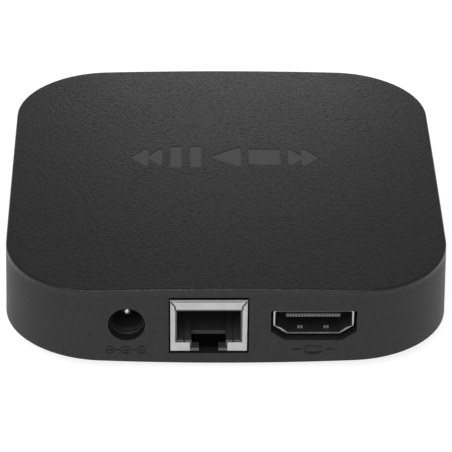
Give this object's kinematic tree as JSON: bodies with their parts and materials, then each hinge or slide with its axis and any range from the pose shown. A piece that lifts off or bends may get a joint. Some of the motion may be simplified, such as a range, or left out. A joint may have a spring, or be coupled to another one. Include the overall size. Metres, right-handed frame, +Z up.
{
  "type": "streaming media player",
  "caption": "Small square streaming box with a domed roof, rounded corners, power, network and video sockets in its rear wall, and USB and card slots at one side.",
  "frame": {"origin": "centre of the footprint, on the floor under the feet", "axes": "+Z up; the wall with the power, network and video sockets faces -Y; the remote-control window faces +Y; +X to the right seen from the socket side"},
  "size_m": [0.0832, 0.0832, 0.0187],
  "materials": {
    "case_plastic": "fine-textured dark grey moulding, with a polished emblem",
    "foot_rubber": "soft matt black rubber",
    "label_film": "blank satin grey film",
    "screw_steel": "black-plated steel with worn edges",
    "window_plastic": "glossy near-black, passes infrared",
    "board_laminate": "green solder mask with fine tracks",
    "chip_resin": "matt black moulded resin",
    "thermal_silicone": "soft blue-grey silicone",
    "sink_aluminium": "extruded, with fine lines",
    "shield_metal": "tinned or nickelled sheet, satin",
    "contact_gold": "gold-plated",
    "socket_plastic": "black nylon",
    "ferrite": "grey-black pressed ferrite",
    "capacitor_can": "bare aluminium can",
    "ceramic": "tan ceramic",
    "led_lens": "clear moulded lens",
    "spring_steel": "fine bright wire"
  },
  "bodies": {
    "housing": {"top_shell": "case_plastic", "bottom_cover": "case_plastic", "rubber_feet": "foot_rubber", "rating_label": "label_film", "case_screws": "screw_steel", "board_screws": "screw_steel", "front_window": "window_plastic", "main_board": "board_laminate", "processor": "chip_resin", "thermal_pad": "thermal_silicone", "heat_sink": "sink_aluminium", "memory_chips": "chip_resin", "flash_chip": "chip_resin", "power_chips": "chip_resin", "crystal": "shield_metal", "inductors": "ferrite", "filter_capacitors": "capacitor_can", "chip_capacitors": "ceramic", "wifi_board": "board_laminate", "wifi_shield": "shield_metal", "wifi_antenna": "shield_metal", "ir_receiver": "window_plastic", "status_led": "led_lens", "lan_shield": "shield_metal", "lan_insert": "socket_plastic", "lan_contacts": "contact_gold", "lan_transformer": "chip_resin", "hdmi_shell": "shield_metal", "hdmi_insulator": "socket_plastic", "hdmi_contacts": "contact_gold", "dc_housing": "socket_plastic", "dc_pin": "shield_metal", "dc_spring_contact": "shield_metal", "usb1_shell": "shield_metal", "usb1_insulator": "socket_plastic", "usb1_contacts": "contact_gold", "usb2_shell": "shield_metal", "usb2_insulator": "socket_plastic", "usb2_contacts": "contact_gold", "card_slot_base": "socket_plastic", "card_slot_contacts": "contact_gold", "card_slot_shell": "shield_metal", "card_slot_spring": "spring_steel", "reset_switch_body": "socket_plastic", "reset_dome": "spring_steel"},
    "card_slider": {"card_slot_slider": "socket_plastic"},
    "reset_button": {"reset_plunger": "socket_plastic"}
  },
  "joints": [
    {"name": "card_slide", "type": "slide", "parent": "housing", "child": "card_slider", "axis": [1, 0, 0], "range_m": [0, 0.0015], "stiffness_N_per_m": 200, "deforming": ["card_slot_spring"]},
    {"name": "reset_press", "type": "slide", "parent": "housing", "child": "reset_button", "axis": [0, 0, 1], "range_m": [0, 0.00025], "stiffness_N_per_m": 600}
  ]
}
